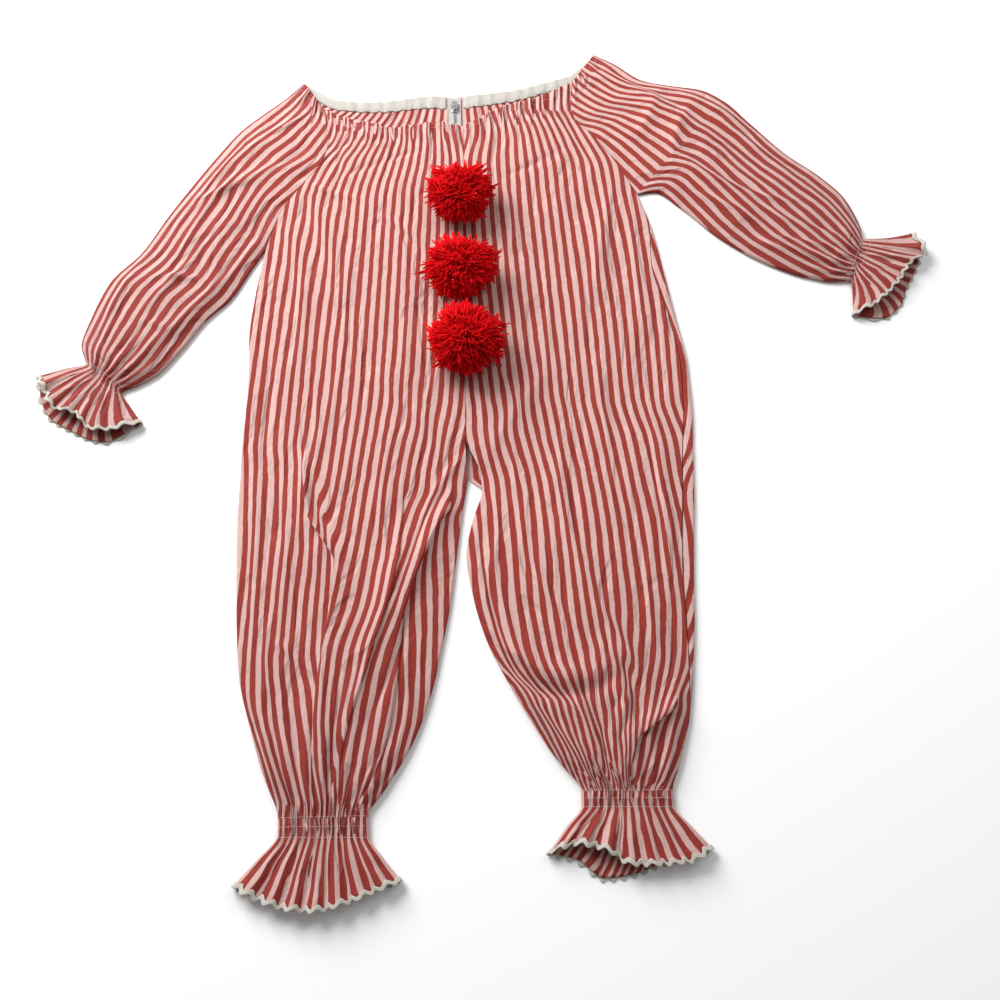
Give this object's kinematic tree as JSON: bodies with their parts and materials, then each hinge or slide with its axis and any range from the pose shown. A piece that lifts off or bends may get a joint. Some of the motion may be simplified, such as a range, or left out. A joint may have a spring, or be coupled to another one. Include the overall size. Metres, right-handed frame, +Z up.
{
  "type": "clown jumpsuit",
  "caption": "Child's striped jumpsuit laid flat on its back, with gathered neck, ruffled cuffs and ankles edged with rick-rack, yarn pompoms down the front and a back zip.",
  "frame": {"origin": "centre of the bounding box in plan, on the floor the suit lies on", "axes": "+Z up off the floor the suit lies flat on, front uppermost; +Y from the ankles towards the neck; +X to the right of someone looking down on the front"},
  "size_m": [1.0726, 1.0959, 0.0613],
  "materials": {
    "striped_cloth": "printed red and white stripes, matt",
    "white_casing": "plain white cotton, matt",
    "zip_tape": "white woven tape",
    "zip_metal": "plain metal",
    "cream_braid": "woven cream rick-rack",
    "red_yarn": "fluffy red yarn"
  },
  "bodies": {
    "suit": {"front_left": "striped_cloth", "front_right": "striped_cloth", "back_left": "striped_cloth", "back_right": "striped_cloth", "sleeve_left": "striped_cloth", "sleeve_right": "striped_cloth", "neck_casing_left": "white_casing", "neck_casing_right": "white_casing", "zip_tape_left": "zip_tape", "zip_tape_right": "zip_tape", "zip_slider": "zip_metal", "pompom_top": "red_yarn", "pompom_middle": "red_yarn", "pompom_bottom": "red_yarn", "cuff_trim_left": "cream_braid", "cuff_trim_right": "cream_braid", "hem_trim_left": "cream_braid", "hem_trim_right": "cream_braid"},
    "pull": {"zip_pull": "zip_metal"}
  },
  "joints": [
    {"name": "pull_hinge", "type": "hinge", "parent": "suit", "child": "pull", "pos_m": [-0.053, 0.446, 0.0058], "axis": [1, 0, 0], "range_deg": [0, 150]}
  ]
}
